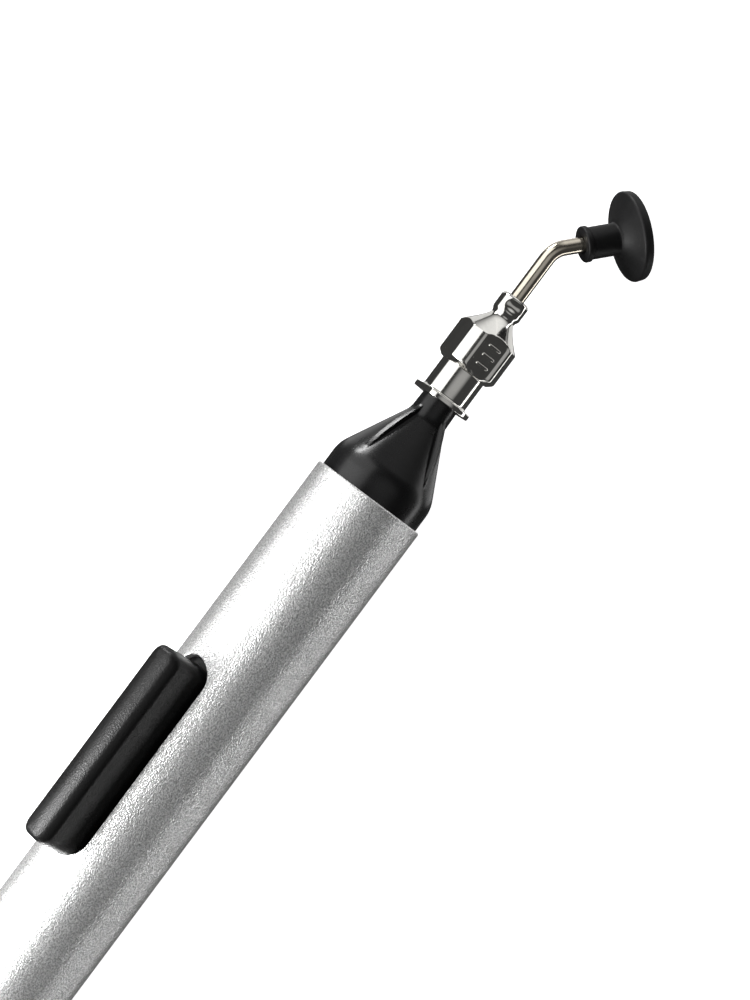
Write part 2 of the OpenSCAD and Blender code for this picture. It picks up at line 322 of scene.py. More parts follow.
class Skin:
    """Points and faces of one piece. Points that fall together are shared."""

    def __init__(self, place=Matrix.Identity(4)):
        self.place = place
        self.points = []
        self.faces = []
        self.found = {}

    def point(self, x, y, z):
        key = (round(x, 8), round(y, 8), round(z, 8))
        if key not in self.found:
            self.found[key] = len(self.points)
            self.points.append(self.place @ Vector((x, y, z)))
        return self.found[key]

    def face(self, *corners):
        ring = list(dict.fromkeys(corners))
        if len(ring) > 2:
            self.faces.append(ring)

    def band(self, row, other, skip=0, closed=True):
        """Quads between two rows of points with the same count, after the skipped ones."""
        for k in range(skip, len(row) if closed else len(row) - 1):
            n = (k + 1) % len(row)
            self.face(row[k], row[n], other[n], other[k])

    def bands(self, rows, ring=False, closed=True):
        for row, other in zip(rows, rows[1:]):
            self.band(row, other, closed=closed)
        if ring:
            self.band(rows[-1], rows[0], closed=closed)

    def turned(self, outline, segments=144, shape=None, ring=False):
        """Turns (x, radius) points about local X. shape(x, radius, turn) may change a radius."""
        rows = []
        for x, radius in outline:
            row = []
            for k in range(segments):
                turn = 2 * pi * k / segments
                r = shape(x, radius, turn) if shape else radius
                row.append(self.point(x, r * sin(turn), r * cos(turn)))
            rows.append(row)
        self.bands(rows, ring)

    def piece(self, name, material, sharp=35.0):
        """Makes the Blender object, with smooth faces and crisp edges."""
        mesh = bpy.data.meshes.new(name)
        mesh.from_pydata([tuple(p) for p in self.points], [], self.faces)
        work = bmesh.new()
        work.from_mesh(mesh)
        bmesh.ops.recalc_face_normals(work, faces=work.faces)
        work.to_mesh(mesh)
        work.free()
        mesh.shade_smooth()
        mesh.set_sharp_from_angle(angle=radians(sharp))
        mesh.materials.append(material)
        obj = bpy.data.objects.new(name, mesh)
        bpy.context.scene.collection.objects.link(obj)
        return obj


def finish_piece(obj, body, slot, *nodes):
    """Puts a finished piece on its body, in place of its CAD nodes."""
    # large faces keep their own direction beside small roundings
    weights = obj.modifiers.new("Face weighted normals", "WEIGHTED_NORMAL")
    weights.mode = "FACE_AREA"
    weights.keep_sharp = True
    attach(obj, body)
    if nodes:
        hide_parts(*nodes)


def dress_node(name, material):
    """Gives a CAD node that stays on show its real finish."""
    node = frame["nodes"][name]
    for held in node.material_slots:
        held.material = material
    if not node.material_slots:
        node.data.materials.append(material)


# -------------------------------------------------------- material helpers


class Tree:
    """Short calls for building a node tree."""

    def __init__(self, tree):
        self.tree = tree

    def add(self, kind, **values):
        node = self.tree.nodes.new(kind)
        for key, value in values.items():
            name = key.replace("_", " ")
            if name in node.inputs:
                node.inputs[name].default_value = value
            else:
                setattr(node, key, value)
        return node

    def link(self, source, target):
        self.tree.links.new(source, target)

    def feed(self, socket, value):
        """Links a socket to the value, or sets it."""
        if isinstance(value, NodeSocket):
            self.link(value, socket)
        else:
            socket.default_value = value

    def math(self, operation, a, b):
        node = self.add("ShaderNodeMath", operation=operation)
        self.feed(node.inputs[0], a)
        self.feed(node.inputs[1], b)
        return node.outputs[0]

    def plus(self, value, mask, amount):
        """The value with an amount of the mask added."""
        return self.math("ADD", value, self.math("MULTIPLY", mask, amount))

    def remap(self, value, low, high, new_low=0.0, new_high=1.0):
        """Maps low..high of a value to new_low..new_high, held at both ends."""
        node = self.add("ShaderNodeMapRange", From_Min=low, From_Max=high,
                        To_Min=new_low, To_Max=new_high)
        self.link(value, node.inputs["Value"])
        return node.outputs["Result"]

    def between(self, mask, start, end):
        """Goes from start to end where the mask goes from 0 to 1."""
        return self.remap(mask, 0.0, 1.0, start, end)

    def blend(self, factor, a, b):
        """Mixes two colours by a factor socket."""
        node = self.add("ShaderNodeMix", data_type="RGBA")
        self.link(factor, node.inputs["Factor"])
        for socket, value in zip((node.inputs[6], node.inputs[7]), (a, b)):
            self.feed(socket, (*value, 1) if isinstance(value, tuple) else value)
        return node.outputs[2]

    def noise(self, vector, **values):
        """A noise texture's value; a value that is a socket is linked."""
        node = self.add("ShaderNodeTexNoise")
        self.link(vector, node.inputs["Vector"])
        for key, value in values.items():
            self.feed(node.inputs[key], value)
        return node.outputs["Fac"]

    def place(self):
        """The place on the object, in metres."""
        return self.add("ShaderNodeTexCoord").outputs["Object"]


def fill_grain(tree, given, result):
    """Packed little pits, as bead blasting or a textured mould leaves them."""
    place = tree.place()
    pits = tree.add("ShaderNodeTexVoronoi", feature="F1")
    tree.link(place, pits.inputs["Vector"])
    tree.link(given["Scale"], pits.inputs["Scale"])
    clouds = tree.noise(place, Scale=given["Scale"], Detail=1.0, Roughness=0.6)
    tree.link(tree.plus(pits.outputs["Distance"], clouds, 0.4), result["Height"])
    tree.link(tree.remap(clouds, 0.38, 0.62), result["Glints"])


def fill_handling(tree, given, result):
    """Broad smudges from fingers, and short fine scuffs."""
    place = tree.place()
    smudge = tree.noise(place, Scale=given["Smudge scale"], Detail=4.0, Roughness=0.55,
                        Distortion=0.6)
    tree.link(tree.remap(smudge, 0.42, 0.68), result["Smudges"])
    skew = tree.add("ShaderNodeMapping", Rotation=(0.3, 0.5, 0.4), Scale=(1.0, 9.0, 9.0))
    tree.link(place, skew.inputs["Vector"])
    scuff = tree.noise(skew.outputs["Vector"], Scale=given["Scuff scale"], Detail=2.0,
                       Roughness=0.5)
    tree.link(tree.remap(scuff, 0.66, 0.74), result["Scuffs"])


def fill_edge_wear(tree, given, result):
    """Edges that stand out, broken up so that the wear isn't even."""
    shape = tree.add("ShaderNodeNewGeometry")
    edge = tree.remap(shape.outputs["Pointiness"], 0.52, 0.62)
    break_up = tree.noise(tree.place(), Scale=1800.0, Detail=3.0)
    worn = tree.math("MULTIPLY", edge, tree.remap(break_up, 0.35, 0.6, 0.25, 1.0))
    tree.link(tree.math("MULTIPLY", worn, given["Amount"]), result["Wear"])


def fill_lines(tree, given, result):
    """Fine tool lines: around the pen where Along is large, along it where Across is large."""
    split = tree.add("ShaderNodeSeparateXYZ")
    tree.link(tree.place(), split.inputs[0])
    join = tree.add("ShaderNodeCombineXYZ")
    for axis, scale in (("X", "Along"), ("Y", "Across"), ("Z", "Across")):
        tree.link(tree.math("MULTIPLY", split.outputs[axis], given[scale]), join.inputs[axis])
    lines = tree.noise(join.outputs[0], Scale=1.0, Detail=4.0, Roughness=0.6)
    tree.link(lines, result["Height"])


# Effects that materials share: what fills the group, its inputs and its outputs
EFFECTS = {
    "Fine grain": (fill_grain, {"Scale": 6000.0}, ("Height", "Glints")),
    "Handling marks": (fill_handling, {"Smudge scale": 120.0, "Scuff scale": 600.0},
                       ("Smudges", "Scuffs")),
    "Edge wear": (fill_edge_wear, {"Amount": 1.0}, ("Wear",)),
    "Tool lines": (fill_lines, {"Along": 6000.0, "Across": 40.0}, ("Height",)),
}


def effect_group(name):
    """The shader node group of a shared effect, built the first time that it's asked for."""
    if name in bpy.data.node_groups:
        return bpy.data.node_groups[name]
    fill, inputs, outputs = EFFECTS[name]
    group = bpy.data.node_groups.new(name, "ShaderNodeTree")
    for label, default in inputs.items():
        socket = group.interface.new_socket(label, in_out="INPUT", socket_type="NodeSocketFloat")
        socket.default_value = default
    for label in outputs:
        group.interface.new_socket(label, in_out="OUTPUT", socket_type="NodeSocketFloat")
    tree = Tree(group)
    given = tree.add("NodeGroupInput")
    result = tree.add("NodeGroupOutput")
    fill(tree, given.outputs, result.inputs)
    return group


class Finish(Tree):
    """The node tree of one material."""

    def __init__(self, name):
        self.material = bpy.data.materials.new(name)
        self.material.use_nodes = True
        super().__init__(self.material.node_tree)

    def effect(self, name, *values):
        """Places a shared effect with this material's own values and returns its outputs."""
        node = self.add("ShaderNodeGroup", node_tree=effect_group(name))
        for socket, value in zip(node.inputs, values):
            socket.default_value = value
        return node.outputs

    def done(self, **values):
        """Feeds the Principled shader and returns the finished material."""
        shader = self.tree.nodes["Principled BSDF"]
        for key, value in values.items():
            self.feed(shader.inputs[key.replace("_", " ")], value)
        return self.material

    def bump(self, height, strength, depth):
        node = self.add("ShaderNodeBump", Strength=strength, Distance=depth * MM)
        self.link(height, node.inputs["Height"])
        return node.outputs["Normal"]


def shade(base, amount):
    """A colour made darker or paler."""
    return tuple(amount * c for c in base)


def blasted_aluminium(colours):
    """Bead-blasted aluminium under a clear anodised skin: grey-white, with a fine sparkle."""
    look = Finish("Blasted aluminium")
    grain = look.effect("Fine grain", 6400.0)
    marks = look.effect("Handling marks", 70.0, 260.0)
    base = tuple(colours.aluminium)
    return look.done(
        Base_Color=look.blend(grain["Glints"], shade(base, 0.5), base),
        Roughness=look.plus(look.between(grain["Glints"], 0.37, 0.31), marks["Smudges"], 0.02),
        Metallic=0.85,
        Normal=look.bump(grain["Height"], 1.0, 0.052))


def gloss_black(colours):
    """Polished black moulding with a trace of orange peel."""
    look = Finish("Gloss black moulding")
    marks = look.effect("Handling marks", 260.0, 700.0)
    peel = look.effect("Fine grain", 1500.0)
    wear = look.effect("Edge wear", 0.35)
    base = tuple(colours.gloss_black)
    return look.done(
        Base_Color=look.blend(wear["Wear"], base, shade(base, 2.2)),
        Roughness=look.plus(look.between(marks["Smudges"], 0.25, 0.31), marks["Scuffs"], 0.06),
        Specular_IOR_Level=0.33,
        Normal=look.bump(peel["Height"], 0.08, 0.03))


def satin_black(colours):
    """Black moulding with the fine texture of a blasted mould."""
    look = Finish("Satin black moulding")
    grain = look.effect("Fine grain", 6500.0)
    marks = look.effect("Handling marks", 180.0, 500.0)
    wear = look.effect("Edge wear", 0.5)
    base = tuple(colours.satin_black)
    return look.done(
        Base_Color=look.blend(wear["Wear"], base, shade(base, 2.5)),
        Roughness=look.plus(look.between(grain["Glints"], 0.40, 0.30), marks["Smudges"], -0.04),
        Specular_IOR_Level=0.2,
        Normal=look.bump(grain["Height"], 0.5, 0.04))


def plated_nickel(colours):
    """Bright nickel over turned brass: faint turning rings, a few smudges, soft wear."""
    look = Finish("Plated nickel")
    rings = look.effect("Tool lines", 9000.0, 60.0)
    marks = look.effect("Handling marks", 420.0, 900.0)
    wear = look.effect("Edge wear", 0.6)
    base = tuple(colours.nickel)
    stained = look.blend(marks["Smudges"], base, shade(base, 0.88))
    return look.done(
        Base_Color=look.blend(wear["Wear"], stained, shade(base, 1.08)),
        Roughness=look.plus(look.remap(rings["Height"], 0.3, 0.7, 0.07, 0.13),
                            marks["Scuffs"], 0.08),
        Metallic=1.0,
        Normal=look.bump(rings["Height"], 0.12, 0.01))


def lined_metal(name, base, lines, marks, stain, rough):
    """Drawn or rolled metal: fine tool lines under darker smudges."""
    look = Finish(name)
    lines = look.effect("Tool lines", *lines)
    marks = look.effect("Handling marks", *marks)
    return look.done(
        Base_Color=look.blend(marks["Smudges"], base, shade(base, stain)),
        Roughness=look.remap(lines["Height"], 0.3, 0.7, *rough),
        Metallic=1.0,
        Normal=look.bump(lines["Height"], 0.15, 0.01))


def drawn_steel(name, base, rough):
    """Steel with fine draw lines along the pen."""
    return lined_metal(name, tuple(base), (120.0, 9000.0), (500.0, 1200.0), 0.82, rough)


def bare_brass(colours):
    """Rolled brass strip, a little tarnished."""
    return lined_metal("Bare brass", tuple(colours.brass), (7000.0, 80.0), (320.0, 800.0),
                       0.7, (0.22, 0.34))


def soft_rubber(name, base, rough):
    """Moulded rubber with a dry bloom on what stands out."""
    look = Finish(name)
    base = tuple(base)
    grain = look.effect("Fine grain", 5200.0)
    marks = look.effect("Handling marks", 240.0, 520.0)
    wear = look.effect("Edge wear", 0.7)
    bloom = tuple(min(1.0, 1.7 * c + 0.003) for c in base)
    patches = look.blend(marks["Smudges"], base, shade(base, 1.35))
    return look.done(
        Base_Color=look.blend(wear["Wear"], patches, bloom),
        Roughness=look.between(marks["Smudges"], rough, rough + 0.08),
        Specular_IOR_Level=0.18,
        Normal=look.bump(grain["Height"], 0.18, 0.02))


# ------------------------------------------------------------------ pieces


def slot_outline(sizes, grow=0.0):
    """The slot's outline grown outwards, as (x, w) points about the slot's middle,
    and the box around it that the same points are carried out to."""
    half_w = sizes.slot_w / 2
    centre = sizes.slot_len / 2 - half_w
    radius = half_w + grow
    margin = 1.2 * MM
    box_w = half_w + margin
    end = even(-pi / 2, -pi / 4, 6)[:-1] + even(-pi / 4, pi / 4, 14) + even(pi / 4, pi / 2, 6)[1:]
    side_steps = 16
    outline, box = [], []
    for side in (1, -1):
        for a in end:
            out = box_w / max(cos(a), abs(sin(a)))
            outline.append((side * (centre + radius * cos(a)), side * radius * sin(a)))
            box.append((side * (centre + out * cos(a)), side * out * sin(a)))
        for x in even(side * centre, -side * centre, side_steps)[1:-1]:
            outline.append((x, side * radius))
            box.append((x, side * box_w))
    return outline, box


def build_tube(sizes, material):
    """The tube: two skins with a slot through them, rounded slot edges, chamfered ends."""
    skin = Skin(seat(PEN_AXIS, BUTTON_UP))
    slot_x = MOUTH_X - sizes.slot_setback - sizes.slot_len / 2
    bore_r = TUBE_R - sizes.wall
    chamfer, edge = sizes.chamfer, sizes.edge
    wide, box = slot_outline(sizes, edge)
    box_x = max(x for x, _ in box)
    lines_x = sorted({round(slot_x + x, 9) for x, _ in box})
    lines_w = sorted({round(w, 9) for x, w in box if box_x - abs(x) < 1e-9})
    behind = even(TAIL_X + chamfer, lines_x[0], 22)[:-1]
    before = even(lines_x[-1], MOUTH_X - chamfer, 9)[1:]
    stations = behind + lines_x + before

    def ring(x, radius, like):
        """Points around the tube: fixed lines across the slot, even over the rest."""
        close = [asin(w / like) for w in lines_w]
        far = even(close[-1], 2 * pi + close[0], 84)[1:-1]
        return [skin.point(x, radius * sin(a), radius * cos(a)) for a in close + far]

    def shell(radius):
        """One skin, open where the slot's box is."""
        rows = [ring(x, radius, radius) for x in stations]
        for x, row, other in zip(stations, rows, rows[1:]):
            in_box = lines_x[0] <= x < lines_x[-1] - 1e-9
            skin.band(row, other, skip=len(lines_w) - 1 if in_box else 0)
        return rows

    def loop(points, radius, sink=0.0):
        return [skin.point(slot_x + x, w, sqrt(radius * radius - w * w) - sink)
                for x, w in points]

    def patch(radius):
        """Rows from the slot's edge out to its box."""
        rows = []
        for t in even(0, 1, 5):
            mixed = [(a[0] + (b[0] - a[0]) * t, a[1] + (b[1] - a[1]) * t)
                     for a, b in zip(wide, box)]
            rows.append(loop(mixed, radius))
        skin.bands(rows)
        return rows[0]

    def rounding(turn, radius, side):
        """A row of the slot's rounded edge, on the outer skin (side 1) or the inner (-1)."""
        outline, _ = slot_outline(sizes, edge * (1 - sin(turn)))
        return loop(outline, radius, side * edge * (1 - cos(turn)))

    outer, inner = shell(TUBE_R), shell(bore_r)
    top, bottom = patch(TUBE_R), patch(bore_r)
    upper = [rounding(turn, TUBE_R, 1) for turn in even(0, pi / 2, 5)[1:]]
    lower = [rounding(turn, bore_r, -1) for turn in even(pi / 2, 0, 4)[:-1]]
    skin.bands([top] + upper + lower + [bottom])
    for end, out, inn in ((TAIL_X, outer[0], inner[0]), (MOUTH_X, outer[-1], inner[-1])):
        skin.bands([out, ring(end, TUBE_R - chamfer, TUBE_R), ring(end, bore_r, bore_r), inn])
    return skin.piece("tube_shell", material, sharp=30)


def build_button(sizes, material):
    """The push button: a soft-edged bar with a crowned top, and its foot in the tube."""
    middle = (PLATE_LOW.x + PLATE_HIGH.x) / 2
    skin = Skin(seat(PEN_AXIS, BUTTON_UP, PEN_AXIS * middle))
    edge, half_w = sizes.edge, sizes.width / 2

    def bar_loop(inset, height):
        """A ring of points around the bar, which has round corners, at height(w)."""
        corner = max(sizes.corner - inset, 0.0)
        long = sizes.length / 2 - inset - corner
        wide = half_w - inset - corner
        row = []
        for sx, sy, start in ((1, 1, 0), (-1, 1, pi / 2), (-1, -1, pi), (1, -1, 3 * pi / 2)):
            for a in even(start, start + pi / 2, 9):
                x, w = sx * long + corner * cos(a), sy * wide + corner * sin(a)
                row.append(skin.point(x, w, height(w)))
        return row

    def crowned(z):
        return lambda w: z + sizes.crown * (1 - (w / half_w) ** 2)

    overlap = 0.1 * MM
    base = sizes.foot_z + overlap
    straight_top = sizes.top - sizes.crown - edge
    rows = [bar_loop(0, lambda w: base)]
    rows += [bar_loop(0, crowned(z)) for z in even(base, straight_top, 4)[1:]]
    rows += [bar_loop(edge * (1 - cos(turn)), crowned(straight_top + edge * sin(turn)))
             for turn in even(0, pi / 2, 8)[1:]]
    rows += [bar_loop(inset, crowned(straight_top + edge))
             for inset in even(edge, half_w, 7)[1:]]
    skin.bands(rows)
    skin.face(*rows[0])

    def foot_loop(grow, height):
        centre = (PLATE_HIGH.x - PLATE_LOW.x) / 2 - sizes.foot_w / 2
        radius = sizes.foot_w / 2 + grow
        points = [(side * (centre + radius * cos(a)), side * radius * sin(a))
                  for side in (1, -1) for a in even(-pi / 2, pi / 2, 16)]
        return [skin.point(x, w, height(w)) for x, w in points]

    def arch(sink):
        return lambda w: sqrt(sizes.foot_crown ** 2 - w * w) - sink

    soft = 0.12 * MM
    foot = [foot_loop(-soft, lambda w: sizes.foot_z),
            foot_loop(0, lambda w: sizes.foot_z + soft), foot_loop(0, arch(soft))]
    foot += [foot_loop(grow, arch(0)) for grow in even(-soft, -sizes.foot_w / 2, 6)]
    skin.bands(foot)
    skin.face(*foot[0])

    # stakes through the plate
    plate_t = 0.35 * MM
    for side in (1, -1):
        rows = [[skin.point(side * sizes.stake_x + sizes.stake_r * cos(a),
                            sizes.stake_r * sin(a), z)
                 for a in even(0, 2 * pi, 32)[:-1]]
                for z in (sizes.foot_z, sizes.foot_z - plate_t)]
        skin.bands(rows)
        skin.face(*rows[0])
        skin.face(*rows[-1])
    return skin.piece("push_button_cap", material, sharp=40)


def build_nose(sizes, material):
    """The nose: spigot and nipple in the tube, ribbed cone, and the tapered tip.
    Places along it are measured from the tube's front edge."""
    skin = Skin(seat(PEN_AXIS, BUTTON_UP, PEN_AXIS * MOUTH_X))
    slope, shoulder, fillet = sizes.slope, sizes.shoulder, sizes.fillet
    shoulder_r = sizes.radius - shoulder * (1 - cos(slope))
    fillet_r = sizes.neck_r + fillet * (1 - cos(slope))
    cone_start = sizes.straight + shoulder * sin(slope)
    cone_end = cone_start + (shoulder_r - fillet_r) / tan(slope)
    neck_start = cone_end + fillet * sin(slope)
    neck_end = neck_start + 1.2 * MM
    tip_end = NOSE_HIGH.x - MOUTH_X
    nipple_end = NOSE_LOW.x - MOUTH_X
    tip_taper = 0.03
    passage_r = 0.8 * MM

    def skin_r(y):
        """Radius of the nose's surface without its ribs."""
        if y < sizes.straight:
            return sizes.radius
        if y < cone_start:
            return sizes.radius - shoulder + sqrt(shoulder ** 2 - (y - sizes.straight) ** 2)
        if y < cone_end:
            return shoulder_r - (y - cone_start) * tan(slope)
        if y < neck_start:
            return sizes.neck_r + fillet - sqrt(fillet ** 2 - (neck_start - y) ** 2)
        return sizes.neck_r - tip_taper * (y - neck_start)

    rib_start = sizes.straight + 1.6 * MM
    rib_end = neck_start - 0.1 * MM
    ridge_front = skin_r(rib_end) + 0.25 * MM
    ridge_rear = shoulder_r - (rib_start + 0.4 * MM - cone_start) * tan(slope)
    bulge = sizes.rib_proud - 0.35 * MM

    def ridge(y):
        """How far the rib's ridge stands above the surface."""
        t = (y - rib_start) / (rib_end - rib_start)
        line = ridge_front + (ridge_rear - ridge_front) * (1 - t) + 4 * bulge * t * (1 - t)
        ends = smooth(rib_start - 0.25 * MM, rib_start + 0.55 * MM, y)
        ends *= 1 - smooth(rib_end - 0.5 * MM, rib_end + 0.9 * MM, y)
        return max(line - skin_r(y), 0) * ends

    # lines along half a rib, in half thicknesses, and the steps from there to the next rib
    half = sizes.rib_w / 2
    rib_lines = [half * k for k in (0, 0.45, 0.8, 1, 1.12, 1.25, 1.5, 2.2)]
    gap_steps = 10
    rib_shape = [1 - smooth(0.8 * half, 1.35 * half, w) for w in rib_lines] + [0] * gap_steps
    sector = pi / sizes.rib_count

    def around(y, radius, spacing, raised=0.0):
        """Points around the nose: close together over each rib, as they are where the
        radius is spacing, and even between the ribs."""
        close = [asin(min(w / spacing, 1)) for w in rib_lines]
        side = list(zip(close + even(close[-1], sector, gap_steps)[1:], rib_shape))
        both = [(-a, shape) for a, shape in reversed(side[1:-1])] + side
        row = []
        for k in range(sizes.rib_count):
            for a, shape in both:
                turn = a + 2 * sector * k
                r = radius + raised * shape
                row.append(skin.point(y, r * sin(turn), r * cos(turn)))
        return row

    stretches = ((0, sizes.straight, 3), (sizes.straight, cone_start, 16),
                 (cone_start, cone_end, 44), (cone_end, neck_start, 14),
                 (neck_start, neck_end, 6))
    places = [0] + [y for stretch in stretches for y in even(*stretch)[1:]]
    skin.bands([around(y, skin_r(y), skin_r(y), ridge(y)) for y in places])

    neck_r = skin_r(neck_end)
    tip = filleted([(neck_end, neck_r, 0), (tip_end, skin_r(tip_end), 0.25 * MM),
                    (tip_end, passage_r, 0)])
    skin.bands([around(y, r, neck_r) for y, r in tip])

    spigot_end = -9.5 * MM
    nipple, barb, barb_soft = 2.0 * MM, 2.35 * MM, 0.08 * MM
    rear_barb, gap_end, front_barb = (nipple_end + d * MM for d in (1.4, 2.2, 3.6))
    rear = filleted([
        (0, sizes.radius, 0), (0, SPIGOT_R, 0), (spigot_end, SPIGOT_R, 0.4 * MM),
        (spigot_end, nipple, 0), (front_barb, nipple, 0), (front_barb, barb, barb_soft),
        (gap_end, nipple, 0), (rear_barb, nipple, 0), (rear_barb, barb, barb_soft),
        (nipple_end, nipple - 0.3 * MM, 0.1 * MM), (nipple_end, passage_r, 0)])
    skin.bands([around(y, r, sizes.radius) for y, r in rear])
    skin.bands([around(nipple_end, passage_r, sizes.radius), around(tip_end, passage_r, neck_r)])
    return skin.piece("nose_moulding", material, sharp=38)


def build_plug(material):
    """The tail plug: a shallow cap with a rounded rim, hollow inside the tube."""
    skin = Skin(seat(PEN_AXIS, BUTTON_UP))
    hollow_r = 4.05 * MM
    skin.turned(filleted([
        (0, 0, 0), (0, TUBE_R, 1.2 * MM), (TAIL_X, TUBE_R, 0.08 * MM), (TAIL_X, SPIGOT_R, 0),
        (PLUG_END, SPIGOT_R, 0.5 * MM), (PLUG_END, hollow_r, 0.2 * MM),
        (TAIL_X, hollow_r, 0.4 * MM), (TAIL_X, 0, 0)]))
    return skin.piece("tail_plug_moulding", material, sharp=38)


MOUTH_BEVEL_R = 2.2 * MM  # of the hub's socket
NEEDLE_HOLE_R = 0.84 * MM


def hub_outline(sizes):
    """Outline of the hub from its rear face to its front end, as (x, r) points."""
    r, barrel_r, crimp_r = sizes.radius, sizes.barrel_r, sizes.crimp_r
    start, waist_x, waist_r = sizes.bar_start, sizes.waist_x, sizes.waist_r
    rear_corner = 0.6 * MM
    bar_from, bar_to = start + 0.9 * MM, sizes.bar_end - 0.1 * MM
    rear = filleted([
        (0, MOUTH_BEVEL_R, 0), (0, r, 0.14 * MM), (sizes.lug_t, r, 0.14 * MM),
        (sizes.lug_t, barrel_r, 0.28 * MM), (start, barrel_r, 0.1 * MM),
        (start, r - rear_corner, 0.15 * MM), (start + 0.5 * MM, r, 0.5 * MM), (bar_from, r, 0)])
    bar = [(x, r) for x in even(bar_from, bar_to, 40)[1:]]
    cone = [(bar_to + (waist_x - bar_to) * t, r - (r - waist_r) * (1 - (1 - t) ** 1.25))
            for t in even(0, 1, 44)[1:]]
    collar = filleted([
        (waist_x, waist_r, 0), (waist_x + 0.16 * MM, waist_r, 0.6 * MM),
        (waist_x + 0.6 * MM, crimp_r, 0.6 * MM), (HUB_LEN, crimp_r, 0.42 * MM),
        (HUB_LEN, NEEDLE_HOLE_R, 0)])
    # the collar's straight stretch gets points enough for its dents
    long = max(range(1, len(collar)), key=lambda i: collar[i][0] - collar[i - 1][0])
    straight = [(x, crimp_r) for x in even(waist_x + 0.95 * MM, HUB_LEN - 0.55 * MM, 20)]
    return rear + bar + cone + collar[1:long] + straight + collar[long:]


def build_hub(sizes, material):
    """The hub: two lugs, thin barrel, bar with flats, one of them stamped, crimped collar."""
    skin = Skin(seat(PEN_AXIS, BEND_UP, PEN_AXIS * HUB_LOW.x))
    flat = sizes.flats / 2
    half_flat = sqrt(sizes.radius ** 2 - flat ** 2)
    flats_end = sizes.bar_end + 1.8 * MM
    stamp_turn = pi / 2
    dent_x = (sizes.waist_x + 0.45 * MM + HUB_LEN) / 2
    dent_turns = (radians(105), radians(285))
    dent_deep, dent_long, dent_wide = 0.3 * MM, 0.8 * MM, 1.25 * MM

    def stamp(x, v):
        """Depth of the stamped flat inside its rim, at x along and v across."""
        inside_x = min(x - sizes.bar_start, sizes.bar_end + 0.5 * MM - x) - sizes.panel_rim
        inside_v = half_flat - abs(v) - sizes.panel_rim
        return sizes.panel_deep * smooth(0, 0.2 * MM, soft_min(inside_x, inside_v, 0.5 * MM))

    def shape(x, radius, turn):
        r = radius
        side = abs(cos(turn))
        if x <= sizes.lug_t + 0.15 * MM and r > sizes.barrel_r and side > 1e-6:
            r = soft_min(r, sizes.lug_half / side, 0.12 * MM)
        if sizes.bar_start - 0.01 * MM <= x <= flats_end and r > sizes.barrel_r:
            off = (turn + pi / 4) % (pi / 2) - pi / 4
            stamped = abs(turn - stamp_turn) < pi / 4
            level = flat - (stamp(x, flat * tan(off)) if stamped else 0)
            r = soft_min(r, level / cos(off), 0.1 * MM)
        for dent in dent_turns:
            away = (turn - dent + pi) % (2 * pi) - pi
            far = hypot((x - dent_x) / dent_long, away * radius / dent_wide)
            if far < 1 and x > sizes.waist_x:
                r -= dent_deep * (1 - far * far) ** 2
        return r

    skin.turned(hub_outline(sizes), segments=240, shape=shape)

    # tapered socket and the needle's hole
    mouth_r, socket_r, needle_r = 2.12 * MM, 1.85 * MM, 0.826 * MM
    socket_end = 7.1 * MM
    skin.turned(filleted([
        (0, MOUTH_BEVEL_R, 0), (0, mouth_r, 0.04 * MM), (socket_end, socket_r, 0),
        (socket_end + 0.6 * MM, needle_r, 0), (HUB_LEN, NEEDLE_HOLE_R, 0)]), segments=240)
    return skin.piece("hub_body", material, sharp=42)


def build_hub_marks(sizes, material):
    """Three plain raised bars on the stamped flat."""
    out = (seat(PEN_AXIS, BEND_UP) @ Vector((0, 1, 0))).normalized()
    middle = HUB_LOW.x + (sizes.bar_start + sizes.bar_end + 0.5 * MM) / 2
    level = sizes.flats / 2 - sizes.panel_deep
    skin = Skin(seat(PEN_AXIS, out, PEN_AXIS * middle + out * level))
    rise, half_len, half_w, spacing = 0.12 * MM, 0.17 * MM, 0.8 * MM, 1.1 * MM
    for shift in (-spacing, 0, spacing):
        rows = []
        for turn in even(-0.2 * pi, 0.5 * pi, 9):
            radius = max(half_len * cos(turn), 0)
            rows.append([skin.point(shift + side * radius * cos(a),
                                    side * (half_w - half_len + radius * sin(a)),
                                    rise * sin(turn))
                         for side in (1, -1) for a in even(0, pi, 10)])
        skin.bands(rows)
        skin.face(*rows[0])
    return skin.piece("hub_size_bars", material, sharp=50)


def build_needle(sizes, material):
    """The needle: a thin tube along the pen, around the bend and out along the tip."""
    skin = Skin()
    corner = PEN_AXIS * (HUB_HIGH.x + sizes.reach)
    tangent = sizes.bend_r * tan(BEND_ANGLE / 2)
    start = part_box("needle_tube")[0].x
    side = PEN_AXIS.cross(BEND_UP)
    bend_start = corner.x - tangent
    centre = PEN_AXIS * bend_start + BEND_UP * sizes.bend_r
    end_soft = 0.06 * MM
    path = [(PEN_AXIS * x, 0.0) for x in even(start, bend_start, 16)[:-1]]
    path += [(centre + sizes.bend_r * (PEN_AXIS * sin(turn) - BEND_UP * cos(turn)), turn)
             for turn in even(0, BEND_ANGLE, 28)]
    path += [(corner + TIP_ALONG * d, BEND_ANGLE)
             for d in even(tangent, sizes.tip - end_soft, 12)[1:]]

    def ring(place, turn, radius):
        up = BEND_UP * cos(turn) - PEN_AXIS * sin(turn)
        return [skin.point(*(place + radius * (up * cos(a) + side * sin(a))))
                for a in even(0, 2 * pi, 72)[:-1]]

    outer, inner = sizes.outer / 2, sizes.inner / 2
    outside = [ring(place, turn, outer) for place, turn in path]
    inside = [ring(place, turn, inner) for place, turn in path]
    rim = corner + TIP_ALONG * sizes.tip
    lip = [ring(rim, BEND_ANGLE, outer - end_soft), ring(rim, BEND_ANGLE, inner + end_soft)]
    skin.bands(outside + lip + inside[::-1] + outside[:1])
    return skin.piece("needle_bent_tube", material, sharp=40)


